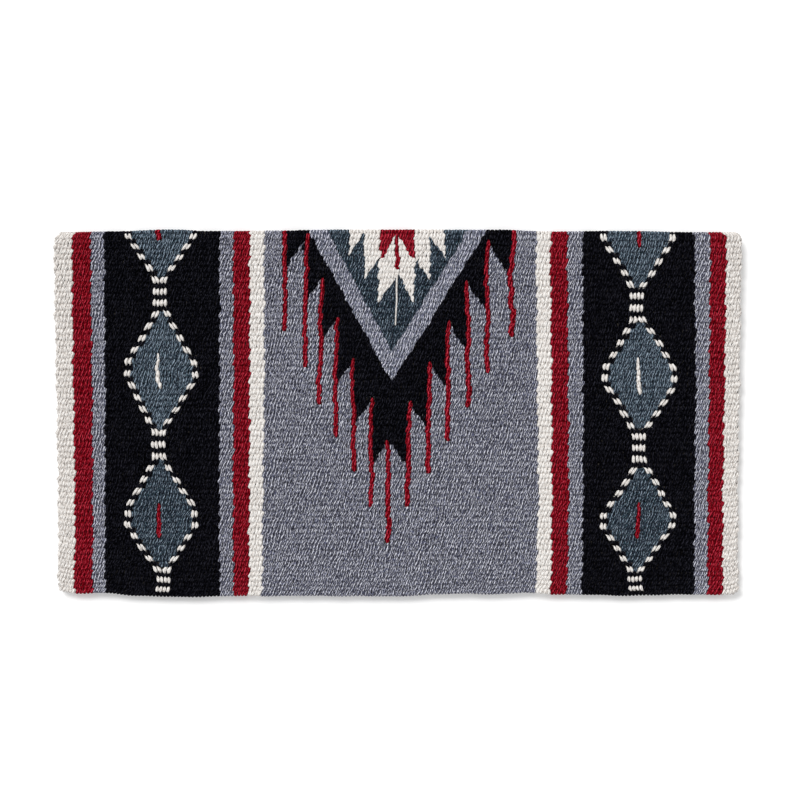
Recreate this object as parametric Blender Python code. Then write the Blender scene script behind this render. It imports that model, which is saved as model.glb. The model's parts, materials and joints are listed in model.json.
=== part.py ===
"""A thick hand-woven wool saddle blanket, folded once in half and lying flat.

Metres, +Z up. The warps run along X. The wefts run along Y, over the fold at the +Y side.
Each colour area is woven with its own yarn, so each is a piece of its own, as thick as the
cloth. The blanket has two leaves, the back one below on the floor and the front one on
top, and two single ribs of weave at the fold, each with its warp inside. Three hinges at
mid-thickness join them, one on each side of every rib.

Each leaf is built flat in its own frame: X along the warps, Y away from its fold hinge,
Z through the thickness, with the outer face of the folded blanket at -Z.
"""

import math

import bmesh
import bpy
from mathutils import Matrix

# The whole blanket
blanket_width = 0.8636  # along the warps: 34 inches
leaf_depth = 0.456  # from the fold's hinge to the free edge
thickness = 0.007  # the warp and a layer of weft on each side of it
warp_pitch = 0.0072  # from one rib of weave to the next
warp_diameter = 0.003
corner_radius = 0.012  # the free corners, rounded by their lazy lines
edge_chamfer = 0.0012  # the rounded edge of the outer yarns
gap = 0.0003  # between pieces that touch
overrun = 0.02  # how far a cutter passes what it cuts
fold_ribs = 2
cord_sides = 16
corner_steps = 5

# Widths of the colour stripes, each side's from its outer end inwards
stripe_widths = {
    "left": {
        "end_band": 0.022,
        "outer_red": 0.0235,
        "outer_grey": 0.016,
        "black_band": 0.1435,
        "inner_grey": 0.018,
        "inner_red": 0.0205,
        "inner_white": 0.016,
    },
    "right": {
        "end_band": 0.020,
        "outer_red": 0.0185,
        "outer_grey": 0.0165,
        "black_band": 0.141,
        "inner_grey": 0.019,
        "inner_red": 0.020,
        "inner_white": 0.018,
    },
}

# The chain of diamonds down the middle of each black band. Each side's centres and half
# heights are shares of the leaf's depth, and the first diamond is cut in half by the fold.
diamond_centre_shares = {"left": (-0.016, 0.365, 0.784), "right": (-0.016, 0.376, 0.792)}
diamond_height_shares = {"left": (0.152, 0.161, 0.152), "right": (0.170, 0.163, 0.147)}
diamond_width_share = 0.33  # half a diamond's width, of its black band
outline_width = 0.011  # the white and black outline, measured along X
neck_width = 0.018  # the joining bars between the diamonds
last_neck_gap = 0.0065  # the black rib between the last neck and the free edge

# The medallion in the middle, half of it on each leaf. Its shapes are shares of the centre
# field's width, from the medallion's axis, and of the leaf's depth.
axis_share = 0.492  # the axis, across the centre field
serration_width_share = 0.40  # from the axis to the first tooth's tip
serration_tip_shares = (0.088, 0.637)  # the depths of the first tooth's tip and the last's
serration_teeth = 6
serration_notch_share = 0.163  # from a tooth's tip back to the notch before it
serration_slant_share = 0.3  # how far that notch stands outside the tip, of a tooth's width
serration_end_share = 0.582  # the notch on the axis
chevron_width_share = 0.328
chevron_depth_share = 0.405
medallion_width_share = 0.26
medallion_depth_share = 0.322
star_width_share = 0.172
star_tip_shares = (0.052, 0.188)
star_teeth = 3
star_notch_share = 0.105
star_end_share = 0.118
core_width_share = 0.061
core_depth_share = 0.064
core_notch_share = 0.012

# Wool colours, as they look
white_wool = (0.84, 0.81, 0.78)
red_wool = (0.45, 0.07, 0.11)
grey_wool = (0.45, 0.45, 0.49)
light_grey_wool = (0.50, 0.50, 0.55)
black_wool = (0.05, 0.05, 0.065)
slate_wool = (0.28, 0.33, 0.38)
warp_wool = (0.72, 0.68, 0.62)
wool_roughness = 0.95

colours = {
    "end_band": white_wool,
    "outer_red": red_wool,
    "outer_grey": grey_wool,
    "black_band": black_wool,
    "diamond_outline": white_wool,
    "diamond": slate_wool,
    "inner_grey": grey_wool,
    "inner_red": red_wool,
    "inner_white": white_wool,
    "centre_field": grey_wool,
    "serration": black_wool,
    "chevron": light_grey_wool,
    "medallion": slate_wool,
    "star": white_wool,
    "core": red_wool,
    "fold_rib": grey_wool,
    "fold_warp": warp_wool,
}

# What follows from the sizes above
half_width = blanket_width / 2
half_thickness = thickness / 2
half_gap = gap / 2
bend = math.pi / (fold_ribs + 1)  # at each hinge while the blanket is folded
bevel = math.tan(bend / 2)  # the inner half of each edge leans back by half the bend
rise = warp_pitch * sum(math.sin(k * bend) for k in range(1, fold_ribs + 1))
# The front leaf slopes down from the fold until its free edge rests on the back leaf
lean = math.asin((rise - thickness - gap) / leaf_depth)


def clear_scene():
    for old in list(bpy.data.objects):
        bpy.data.objects.remove(old, do_unlink=True)


def wool(name, colour):
    """A Principled material from a colour as it looks on a screen."""
    material = bpy.data.materials.new(name)
    material.use_nodes = True
    surface = material.node_tree.nodes["Principled BSDF"]
    linear = [((c + 0.055) / 1.055) ** 2.4 if c > 0.04045 else c / 12.92 for c in colour]
    surface.inputs["Base Color"].default_value = (*linear, 1)
    surface.inputs["Roughness"].default_value = wool_roughness
    surface.inputs["Metallic"].default_value = 0
    return material


def new_object(name, mesh, parent, kind=None):
    """An object in its parent's frame, with a material of its own if it has a kind."""
    piece = bpy.data.objects.new(name, mesh)
    bpy.context.scene.collection.objects.link(piece)
    piece.parent = parent
    if kind:
        mesh.materials.append(wool(name, colours[kind]))
    else:
        piece.hide_render = True
        piece.display_type = "WIRE"
    return piece


def loft(name, rings):
    """A closed mesh through rings of points, with both end rings capped."""
    shape = bmesh.new()
    loops = [[shape.verts.new(point) for point in ring] for ring in rings]
    for lower, upper in zip(loops, loops[1:]):
        count = len(lower)
        for i in range(count):
            j = (i + 1) % count
            shape.faces.new((lower[i], lower[j], upper[j], upper[i]))
    shape.faces.new(loops[0])
    shape.faces.new(loops[-1])
    bmesh.ops.recalc_face_normals(shape, faces=shape.faces)
    mesh = bpy.data.meshes.new(name)
    shape.to_mesh(mesh)
    shape.free()
    return mesh


def prism(name, outline, side):
    """An outline in (x, distance from the fold), standing through the whole thickness."""
    reach = half_thickness + overrun
    rings = [[(x, side * v, z) for x, v in outline] for z in (-reach, reach)]
    return loft(name, rings)


def grown(outline, distance):
    """The outline with every side moved outwards, its corners kept sharp."""
    area = sum(a[0] * b[1] - b[0] * a[1] for a, b in zip(outline, outline[1:] + outline[:1]))
    turn = 1 if area > 0 else -1
    moved = []
    for i, (x, v) in enumerate(outline):
        before, after = outline[i - 1], outline[(i + 1) % len(outline)]
        normals = []
        for a, b in ((before, (x, v)), ((x, v), after)):
            length = math.dist(a, b)
            normals.append((turn * (b[1] - a[1]) / length, turn * (a[0] - b[0]) / length))
        (ax, av), (bx, bv) = normals
        scale = distance / (1 + ax * bx + av * bv)
        moved.append((x + (ax + bx) * scale, v + (av + bv) * scale))
    return moved


def rectangle(low_x, high_x):
    """A stripe's outline: the whole depth of the leaf, and past both ends."""
    near, far = -overrun, leaf_depth + overrun
    return [(low_x, near), (high_x, near), (high_x, far), (low_x, far)]


def stripe_edges():
    """Each stripe's low and high x, with the centre field left between the two sides."""
    edges = {}
    for side, sign in (("left", -1), ("right", 1)):
        outer, past = sign * half_width, sign * overrun
        for stripe, width in stripe_widths[side].items():
            inner = outer - sign * width
            edges[f"{stripe}_{side}"] = (min(outer + past, inner), max(outer + past, inner))
            outer, past = inner, 0
        edges[f"field_{side}"] = outer
    edges["centre_field"] = (edges.pop("field_left"), edges.pop("field_right"))
    return edges


def chain_outline(side, centre_x, half_band):
    """The outside of a diamond chain, down one side and back up the other."""
    reach = half_band * 2 * diamond_width_share
    half_neck = neck_width / 2
    one_side = []
    centres, heights = diamond_centre_shares[side], diamond_height_shares[side]
    for number, (centre_share, height_share) in enumerate(zip(centres, heights)):
        centre, height = centre_share * leaf_depth, height_share * leaf_depth
        shoulder = height * (1 - half_neck / reach)
        if number:
            one_side.append((half_neck, centre - shoulder))
            one_side.append((reach, centre))
        else:
            one_side.append((reach, min(centre, -overrun)))
            one_side.append((reach, centre))
        one_side.append((half_neck, centre + shoulder))
    one_side.append((half_neck, leaf_depth - last_neck_gap))
    right = [(centre_x + x, v) for x, v in one_side]
    left = [(centre_x - x, v) for x, v in reversed(one_side)]
    return right + left


def diamond_outline(side, number, centre_x, half_band):
    """The slate diamond inside its outline, which narrows it by the same slope all round."""
    outer_reach = half_band * 2 * diamond_width_share
    reach = outer_reach - outline_width
    centre = diamond_centre_shares[side][number] * leaf_depth
    height = diamond_height_shares[side][number] * leaf_depth * reach / outer_reach
    if number:
        top = [(centre_x, centre - height)]
    else:
        top = [(centre_x - reach, min(centre, -overrun)), (centre_x + reach, min(centre, -overrun))]
    return top + [(centre_x + reach, centre), (centre_x, centre + height), (centre_x - reach, centre)]


def toothed_outline(axis_x, width, teeth, shares):
    """A stepped shape that narrows away from the fold, tooth by tooth, to its axis.

    Each tooth's outer side runs away from the fold to its tip. Its inner side runs back up
    to a notch at the start of the next tooth, and the last two meet in a notch on the axis.
    The shares are the first and last tips' depths, how far back a notch is, how far outside
    the next tip it stands, and the depth of the notch on the axis.
    """
    tip_shares, notch_share, slant_share, end_share = shares
    step = width / teeth
    first, last = (share * leaf_depth for share in tip_shares)
    fall = (last - first) / max(teeth - 1, 1)
    notch = notch_share * leaf_depth
    one_side = [(width, -overrun)]
    for tooth in range(teeth):
        tip_x, tip_v = width - tooth * step, first + tooth * fall
        if tooth:
            one_side.append((tip_x + step * slant_share, tip_v - notch))
        one_side.append((tip_x, tip_v))
    right = [(axis_x + x, v) for x, v in one_side]
    left = [(axis_x - x, v) for x, v in reversed(one_side)]
    return right + [(axis_x, end_share * leaf_depth)] + left


def chevron_outline(axis_x, width, depth):
    """A plain V that starts past the fold and ends in a point on the axis."""
    slope = width / depth
    wide = width + slope * overrun
    return [(axis_x - wide, -overrun), (axis_x + wide, -overrun), (axis_x, depth)]


def leaf_blank(name, side, parent):
    """A leaf's whole body: rounded free corners, chamfered rims and the fold's bevel."""
    top = half_thickness
    levels = (
        (-top, edge_chamfer, edge_chamfer),
        (edge_chamfer - top, 0, 0),
        (0, 0, 0),
        (top - edge_chamfer, 0, (top - edge_chamfer) * bevel),
        (top, edge_chamfer, top * bevel),
    )
    rings = []
    for z, inset, fold_inset in levels:
        near = half_gap + fold_inset
        radius = corner_radius - inset
        centre_x, centre_v = half_width - corner_radius, leaf_depth - corner_radius
        turns = [math.pi / 2 * i / corner_steps for i in range(corner_steps + 1)]
        right = [(centre_x + radius * math.cos(a), centre_v + radius * math.sin(a)) for a in turns]
        left = [(-x, v) for x, v in reversed(right)]
        plan = [(inset - half_width, near), (half_width - inset, near)] + right + left
        rings.append([(x, side * v, z) for x, v in plan])
    return new_object(name, loft(name, rings), parent)


def boolean(piece, cutter, operation):
    cut = piece.modifiers.new(cutter.name, "BOOLEAN")
    cut.operation = operation
    cut.solver = "EXACT"
    cut.object = cutter


def add_section(leaf, name, kind, outline, inner=()):
    """One colour area of a leaf: its outline, kept to the leaf, less the areas inside it."""
    prefix, side, parent, blank = leaf
    piece_name = f"{prefix}_{name}"
    piece = new_object(piece_name, prism(piece_name, outline, side), parent, kind)
    boolean(piece, blank, "INTERSECT")
    for number, area in enumerate(inner):
        cutter_name = f"{piece_name}_cutter_{number}"
        cutter = new_object(cutter_name, prism(cutter_name, grown(area, gap), side), parent)
        boolean(piece, cutter, "DIFFERENCE")
    return piece


def add_stripes(leaf, edges):
    """The plain stripes, each one short of its neighbour by the gap."""
    for side in stripe_widths:
        for stripe in stripe_widths[side]:
            if stripe == "black_band":
                continue
            low, high = edges[f"{stripe}_{side}"]
            add_section(leaf, f"{stripe}_{side}", stripe, rectangle(low + half_gap, high - half_gap))


def add_diamond_band(leaf, edges, side):
    """A black band, the outline chain in it, and the diamonds in the chain."""
    low, high = edges[f"black_band_{side}"]
    centre_x, half_band = (low + high) / 2, (high - low) / 2
    chain = chain_outline(side, centre_x, half_band)
    count = len(diamond_centre_shares[side])
    diamonds = [diamond_outline(side, i, centre_x, half_band) for i in range(count)]
    band = rectangle(low + half_gap, high - half_gap)
    add_section(leaf, f"black_band_{side}", "black_band", band, [chain])
    add_section(leaf, f"diamond_outline_{side}", "diamond_outline", chain, diamonds)
    for number, outline in enumerate(diamonds, start=1):
        add_section(leaf, f"diamond_{side}_{number}", "diamond", outline)


def add_medallion(leaf, edges):
    """The centre field and the nested shapes of the medallion, each cut from the last."""
    low, high = edges["centre_field"]
    width = high - low
    axis_x = low + width * axis_share
    reaches = {
        "serration": width * serration_width_share,
        "chevron": width * chevron_width_share,
        "medallion": width * medallion_width_share,
        "star": width * star_width_share,
        "core": width * core_width_share,
    }
    serration = (
        serration_tip_shares,
        serration_notch_share,
        serration_slant_share,
        serration_end_share,
    )
    star = (star_tip_shares, star_notch_share, 0, star_end_share)
    core = ((core_depth_share, core_depth_share), 0, 0, core_notch_share)
    chevron_depth = leaf_depth * chevron_depth_share
    medallion_depth = leaf_depth * medallion_depth_share
    shapes = {
        "centre_field": rectangle(low + half_gap, high - half_gap),
        "serration": toothed_outline(axis_x, reaches["serration"], serration_teeth, serration),
        "chevron": chevron_outline(axis_x, reaches["chevron"], chevron_depth),
        "medallion": chevron_outline(axis_x, reaches["medallion"], medallion_depth),
        "star": toothed_outline(axis_x, reaches["star"], star_teeth, star),
        "core": toothed_outline(axis_x, reaches["core"], 1, core),
    }
    names = list(shapes)
    for number, name in enumerate(names):
        inner = [shapes[other] for other in names[number + 1 : number + 2]]
        add_section(leaf, name, name, shapes[name], inner)


def add_leaf(prefix, side, parent):
    edges = stripe_edges()
    leaf = (prefix, side, parent, leaf_blank(f"{prefix}_leaf_blank", side, parent))
    add_stripes(leaf, edges)
    for band_side in stripe_widths:
        add_diamond_band(leaf, edges, band_side)
    add_medallion(leaf, edges)


def rib_profile():
    """A rib's outline in (distance from its first hinge, z), its inner half bevelled."""
    near, far = half_gap, warp_pitch - half_gap
    top, low = half_thickness, edge_chamfer - half_thickness
    return [
        (near + edge_chamfer, -top),
        (far - edge_chamfer, -top),
        (far, low),
        (far, 0),
        (far - top * bevel, top),
        (near + top * bevel, top),
        (near, 0),
        (near, low),
    ]


def lengthwise_cord(name, radius, length):
    """A round cord along X through the middle of a rib."""
    shape = bmesh.new()
    turn = Matrix.Translation((0, warp_pitch / 2, 0)) @ Matrix.Rotation(math.pi / 2, 4, "Y")
    bmesh.ops.create_cone(
        shape,
        cap_ends=True,
        segments=cord_sides,
        radius1=radius,
        radius2=radius,
        depth=length,
        matrix=turn,
    )
    mesh = bpy.data.meshes.new(name)
    shape.to_mesh(mesh)
    shape.free()
    mesh.shade_smooth()
    mesh.set_sharp_from_angle(angle=math.pi / 4)
    return mesh


def add_fold_rib(name, parent):
    """A rib of weave at the fold, with its warp in a bore down its middle."""
    rings = [[(x, y, z) for y, z in rib_profile()] for x in (-half_width, half_width)]
    rib = new_object(f"fold_rib_{name}", loft(f"fold_rib_{name}", rings), parent, "fold_rib")
    radius = warp_diameter / 2
    bore_name = f"fold_bore_{name}"
    bore_mesh = lengthwise_cord(bore_name, radius + gap, blanket_width + overrun)
    boolean(rib, new_object(bore_name, bore_mesh, parent), "DIFFERENCE")
    warp_name = f"fold_warp_{name}"
    warp_mesh = lengthwise_cord(warp_name, radius, blanket_width)
    new_object(warp_name, warp_mesh, parent, "fold_warp")


def fold_reach():
    """How far the folded ribs stand out past the first hinge, along Y."""
    reach, start = 0, 0
    for k in range(1, fold_ribs + 1):
        across, up = math.cos(k * bend), math.sin(k * bend)
        reach = max([reach] + [start + y * across - z * up for y, z in rib_profile()])
        start += warp_pitch * across
    return reach


def hinge(name, parent, location, turn):
    """An empty on a hinge's axis, turned to the folded blanket's bend."""
    empty = bpy.data.objects.new(name, None)
    bpy.context.scene.collection.objects.link(empty)
    empty.parent = parent
    empty.location = location
    empty.rotation_euler = (turn, 0, 0)
    return empty


def build():
    clear_scene()
    first_y = (leaf_depth - fold_reach()) / 2
    back = hinge("back_frame", None, (0, first_y, half_thickness), 0)
    lower = hinge("hinge_lower", back, (0, 0, 0), bend)
    upper = hinge("hinge_middle", lower, (0, warp_pitch, 0), bend)
    front = hinge("hinge_upper", upper, (0, warp_pitch, 0), bend + lean)
    add_leaf("back", -1, back)
    add_fold_rib("lower", lower)
    add_fold_rib("upper", upper)
    add_leaf("front", 1, front)


build()
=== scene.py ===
import collections
import json
import math

import bpy
import numpy as np
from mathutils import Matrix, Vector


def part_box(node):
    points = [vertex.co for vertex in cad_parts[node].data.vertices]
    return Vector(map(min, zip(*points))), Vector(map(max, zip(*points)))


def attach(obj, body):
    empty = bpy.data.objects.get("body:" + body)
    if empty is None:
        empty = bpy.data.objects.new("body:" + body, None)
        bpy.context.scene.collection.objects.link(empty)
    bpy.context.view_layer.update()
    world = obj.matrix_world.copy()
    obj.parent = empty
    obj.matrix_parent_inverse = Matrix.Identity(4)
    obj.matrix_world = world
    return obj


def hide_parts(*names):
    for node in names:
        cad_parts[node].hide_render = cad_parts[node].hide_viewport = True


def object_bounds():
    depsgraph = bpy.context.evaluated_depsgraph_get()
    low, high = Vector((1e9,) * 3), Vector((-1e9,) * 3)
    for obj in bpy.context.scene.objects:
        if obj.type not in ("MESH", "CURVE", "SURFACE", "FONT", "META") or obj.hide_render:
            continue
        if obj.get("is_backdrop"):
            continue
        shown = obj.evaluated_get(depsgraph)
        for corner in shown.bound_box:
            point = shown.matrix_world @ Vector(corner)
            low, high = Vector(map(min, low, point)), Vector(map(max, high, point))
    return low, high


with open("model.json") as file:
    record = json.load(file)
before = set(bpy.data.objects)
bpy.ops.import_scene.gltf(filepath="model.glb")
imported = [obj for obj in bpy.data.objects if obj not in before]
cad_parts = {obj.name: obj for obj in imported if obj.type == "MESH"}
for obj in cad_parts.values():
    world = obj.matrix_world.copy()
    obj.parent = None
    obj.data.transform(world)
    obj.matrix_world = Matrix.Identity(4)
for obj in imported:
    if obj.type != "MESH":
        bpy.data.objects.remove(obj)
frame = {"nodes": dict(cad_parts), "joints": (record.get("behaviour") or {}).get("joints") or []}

cad_low, cad_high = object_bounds()

# A weft-faced wool saddle blanket, folded in half. Every weft yarn is a tube that goes over and
# under the warps, so the ribs, the beads and the stepped edges of the pattern are all geometry.
# Metres throughout, in the frame of the CAD model. Places on the pattern are pixels of the
# photograph, across and down, which photo_pixel turns into metres.
photo_pixel = 0.001264      # one pixel of the photograph, on the blanket
middle_pixel = 397.5        # across, at the middle of the blanket
fold_line_pixel = 234.5     # down, at the hinge from which a leaf's depth is measured


def across_pixel(x):
    return middle_pixel + x / photo_pixel


def metres_across(pixel):
    return (np.asarray(pixel) - middle_pixel) * photo_pixel


def down_pixel(depth):
    return fold_line_pixel + depth / photo_pixel


def metres_deep(pixel):
    return (pixel - fold_line_pixel) * photo_pixel


# The camera, straight above
camera_height = 2.5
photo_view_width = 1.011
sensor_width = 36.0
view_centre = (0.0032, 0.0158)

camera_data = bpy.data.cameras.new("photograph_camera")
camera_data.sensor_width = sensor_width
camera_data.lens = sensor_width * camera_height / photo_view_width
camera = bpy.data.objects.new("photograph_camera", camera_data)
camera.location = (*view_centre, camera_height + cad_high.z)
bpy.context.scene.collection.objects.link(camera)
bpy.context.scene.camera = camera

# The layout of the cloth. A pick is one pass of weft, and the wefts are counted by pick from the
# left end. Each crossing of a weft and a warp lies on one rib. Ribs are counted round the whole
# cloth, from the free edge of the back leaf, over the fold, to the free edge of the front leaf,
# and each leaf also counts its own ribs away from the fold.
blanket_width = cad_high.x - cad_low.x
left_end = cad_low.x
leaf_depth = 0.456
ribs_per_leaf = 64
fold_ribs = 2
rib_count = 2 * ribs_per_leaf + fold_ribs
pick_count = 388
pick_spacing = blanket_width / pick_count
fold_rib_pitch = 0.0072

body_names = ("back_panel", "fold_rib_lower", "fold_rib_upper", "front_panel")
leaf_bodies = {"back": 0, "front": 3}
fold_bodies = {"lower": 1, "upper": 2}
body_of_rib = np.repeat(np.arange(len(body_names)), (ribs_per_leaf, 1, 1, ribs_per_leaf))
ribs_of_body = [np.flatnonzero(body_of_rib == body) for body in range(len(body_names))]
leaf_ribs = np.arange(ribs_per_leaf)
rib_in_leaf = np.concatenate([leaf_ribs[::-1], [-1] * fold_ribs, leaf_ribs])
away_from_fold = np.array((-1.0, 1.0, 1.0, 1.0))    # of rising rib numbers, in each body


def hinge_point(joint):
    return np.array(joint["pos_m"][1:3])


def heading(start, end):
    step = hinge_point(end) - hinge_point(start)
    return math.atan2(step[1], step[0])


lower_hinge, middle_hinge, upper_hinge = frame["joints"]
opening_angle = math.radians(sum(joint["range_deg"][1] for joint in frame["joints"]))
body_origin = [hinge_point(joint) for joint in (
    lower_hinge, lower_hinge, middle_hinge, upper_hinge)]
body_heading = np.array([
    0.0, heading(lower_hinge, middle_hinge), heading(middle_hinge, upper_hinge), opening_angle])

# Where some of the ribs lie in the photograph, down both chains of diamonds. The weaver beat the
# middle of the cloth less firmly than its edges.
measured_ribs = (0, 4, 12, 24, 40, 48, 56, 60, 63)
left_rib_pixels = (236.8, 256.5, 302.5, 374.0, 468.0, 513.5, 558.0, 578.5, 591.6)
right_rib_pixels = (238.2, 262.0, 307.5, 379.0, 471.5, 515.0, 559.5, 579.0, 591.6)
left_chain_x, right_chain_x = metres_across((161.5, 639.5))
beyond_chains = 0.15        # of the way between the chains: the ends' ribs slope no further
smoothed_ribs = 3           # on each side of a rib
unsmoothed_ribs = 2         # at the fold and at the free edge


def rib_depths(pixels):
    steps = np.interp(leaf_ribs, measured_ribs, pixels)
    padded = np.pad(steps, smoothed_ribs, mode="reflect", reflect_type="odd")
    window = 2 * smoothed_ribs + 1
    smoothed = np.convolve(padded, np.ones(window) / window, mode="valid")
    for outer in (slice(unsmoothed_ribs), slice(-unsmoothed_ribs, None)):
        smoothed[outer] = steps[outer]
    return metres_deep(smoothed)


def neck_depths(depths):
    """The lines between the ribs, where a weft crosses the middle of the cloth."""
    middle = (depths[1:] + depths[:-1]) / 2
    return np.concatenate([[0.0], middle, [depths[-1] + (depths[-1] - middle[-1])]])


chain_rib_depths = [rib_depths(pixels) for pixels in (left_rib_pixels, right_rib_pixels)]
chain_neck_depths = [neck_depths(depths) for depths in chain_rib_depths]


def depth_across(chain_depths, number, x):
    share = (x - left_chain_x) / (right_chain_x - left_chain_x)
    share = np.clip(share, -beyond_chains, 1 + beyond_chains)
    left, right = chain_depths
    return left[number] * (1 - share) + right[number] * share


def rib_depth(rib, x):
    return depth_across(chain_rib_depths, rib, x)


def neck_depth(neck, x):
    return depth_across(chain_neck_depths, neck, x)


def fold_travel(rib, place=0.0):
    """How far round the bend a place on a rib of the fold is from the fold's middle."""
    return (rib - ribs_per_leaf - 0.5 + place) * fold_rib_pitch


# The outline in the photograph: its ends aren't ruled lines, the fold pulls its corners in, and
# the left end of the free edge turns up. The ends are points (down, across), and the others are
# points (across, down). Each has the pixel at which the regular cloth would show.
left_edge = ((229.0, 58.8), (234.0, 56.4), (239.0, 54.8), (252.0, 53.2), (400.0, 55.9),
             (500.0, 57.2), (595.0, 57.2))
right_edge = ((229.0, 736.5), (233.0, 740.0), (238.0, 741.8), (250.0, 742.0), (385.0, 740.3),
              (500.0, 738.9), (595.0, 739.4))
regular_left_edge, regular_right_edge = 55.0, 740.0
free_edge = ((54.0, 589.5), (60.0, 592.0), (67.0, 594.0), (74.0, 595.4), (82.0, 595.2),
             (95.0, 594.0), (115.0, 594.6), (135.0, 596.8), (175.0, 597.8), (275.0, 597.2),
             (335.0, 596.6), (395.0, 597.8), (435.0, 595.6), (475.0, 594.4), (495.0, 595.0),
             (525.0, 593.5), (555.0, 595.5), (615.0, 596.8), (655.0, 596.0), (700.0, 595.0),
             (715.0, 596.2), (733.0, 595.8), (741.0, 591.0))
regular_free_edge = 594.8
fold_line = ((54.0, 234.0), (62.0, 233.0), (100.0, 231.0), (130.0, 230.0), (170.0, 227.0),
             (200.0, 230.0), (240.0, 230.0), (300.0, 229.0), (350.0, 227.0), (400.0, 227.0),
             (450.0, 228.0), (500.0, 228.0), (550.0, 231.0), (600.0, 230.0), (640.0, 230.0),
             (680.0, 232.0), (720.0, 234.0), (741.0, 235.0))
regular_fold_line = 230.0

end_reach = 0.026           # how far in from an end its stray fades
edge_power = 4              # the free edge's stray fades this fast towards the fold
edge_share_limit = 1.05
# The hinges are straight, so the fold follows its line only in part: the cloth at the hinges
# strays from them a little, and the ribs of the fold bulge a little.
hinge_stray_share, hinge_stray_limit, hinge_stray_reach = 0.3, 0.0009, 0.03
crown_share, crown_rise_limit, crown_dip_limit = 0.6, 0.0011, 0.0017

# Slow waves of the wefts: size, length along the weft, length across the wefts, start. Those of
# the ribs: size, length along the rib, length across the ribs, start.
weft_waves = (
    (0.00042, 0.0305, 0.23, 0.4), (0.00036, 0.0187, -0.094, 1.9), (0.00055, 0.0830, 0.37, 4.1),
    (0.00022, 0.0235, 0.051, 2.7))
rib_waves = ((0.00040, 0.21, 0.13, 0.9), (0.00030, 0.092, -0.07, 3.3), (0.00025, 0.045, 0.1, 2.2))
rib_waves_start = 0.05      # the depth at which the ribs' waves have their full size


def line_at(line, where):
    return np.interp(where, *np.transpose(line))


def axis_at(axis, down):
    """The place across of a line that runs down the picture, its points (across, down)."""
    return np.interp(down, *np.transpose(axis)[::-1])


def sideways_drift(x, travel):
    """How far a weft strays sideways at a place along it, measured from the fold's middle."""
    drift = np.zeros_like(x)
    for size, along, across, start in weft_waves:
        drift += size * np.sin(math.tau * (travel / along + x / across) + start)
    down = down_pixel(np.abs(travel) - fold_rib_pitch)
    for edge, regular, from_end in ((left_edge, regular_left_edge, x - cad_low.x),
                                    (right_edge, regular_right_edge, cad_high.x - x)):
        stray = (line_at(edge, down) - regular) * photo_pixel
        drift += stray * np.exp(-np.maximum(from_end, 0) / end_reach)
    return drift


def fold_wave(x):
    return (regular_fold_line - line_at(fold_line, across_pixel(x))) * photo_pixel


def hinge_stray(x):
    """How far the cloth lies beyond the hinges, towards the outside of the fold."""
    return np.clip(fold_wave(x) * hinge_stray_share, -hinge_stray_limit, hinge_stray_limit)


def crown_at(x):
    """How far the ribs of the fold bulge."""
    return np.clip(fold_wave(x) * crown_share, -crown_dip_limit, crown_rise_limit)


def depth_drift(x, depth):
    """How far a rib strays along the wefts, away from the fold."""
    drift = -hinge_stray(x) * np.exp(-depth / hinge_stray_reach)
    hold = np.clip(depth / rib_waves_start, 0, 1)
    for size, along, across, start in rib_waves:
        drift += size * hold * np.sin(math.tau * (x / along + depth / across) + start)
    share = np.clip(depth / leaf_depth, 0, edge_share_limit)
    stray = (line_at(free_edge, across_pixel(x)) - regular_free_edge) * photo_pixel
    return drift + stray * share ** edge_power


# The pattern. A section is what one CAD node shows, by its name without the leaf, and the thin
# lines add sections of their own.
stripe_order = ("end_band", "outer_red", "outer_grey", "black_band", "inner_grey", "inner_red",
                "inner_white")
section_names = ["centre_field", "serration", "chevron", "medallion", "star", "core"]
for side in ("left", "right"):
    section_names += [f"{stripe}_{side}" for stripe in stripe_order]
    section_names += [f"diamond_{side}_{number}" for number in (1, 2, 3)]
    section_names += [f"diamond_outline_{side}"]


def number_for(name):
    if name not in section_names:
        section_names.append(name)
    return section_names.index(name)


# The centre. Each point is a corner of a stepped edge (across, down), left to right.
tooth_line = (
    (286.0, 200.0), (286.2, 268.5), (303.5, 242.0), (304.5, 301.0), (319.8, 281.0),
    (320.8, 340.5), (335.0, 323.0), (336.0, 384.0), (351.0, 365.0), (352.5, 427.5),
    (369.5, 403.0), (370.5, 467.0), (384.5, 445.0), (391.5, 445.0), (408.8, 467.5),
    (411.0, 406.5), (428.0, 427.0), (431.0, 367.0), (446.5, 387.5), (450.0, 326.0),
    (466.5, 351.0), (469.0, 286.5), (486.8, 310.5), (489.5, 246.5), (511.5, 278.5),
    (512.0, 200.0))
chevron_outer = ((307.3, 229.0), (391.7, 381.5), (487.9, 229.0))
chevron_inner = ((326.4, 229.0), (391.7, 351.0), (469.6, 229.0))
star_line = (
    (349.6, 200.0), (349.8, 255.0), (364.3, 233.0), (364.8, 277.5), (377.8, 259.5),
    (378.3, 303.5), (396.0, 277.6), (398.7, 275.0), (414.3, 303.5), (415.2, 259.3),
    (429.8, 279.8), (430.3, 237.0), (445.0, 258.5), (445.2, 200.0))
core_line = (
    (380.4, 200.0), (380.7, 258.5), (383.5, 258.0), (396.0, 235.0), (399.0, 235.5),
    (411.5, 258.0), (414.3, 258.5), (414.7, 200.0))
centre_shapes = {
    "serration": tooth_line, "chevron": chevron_outer, "medallion": chevron_inner,
    "star": star_line, "core": core_line}

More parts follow.
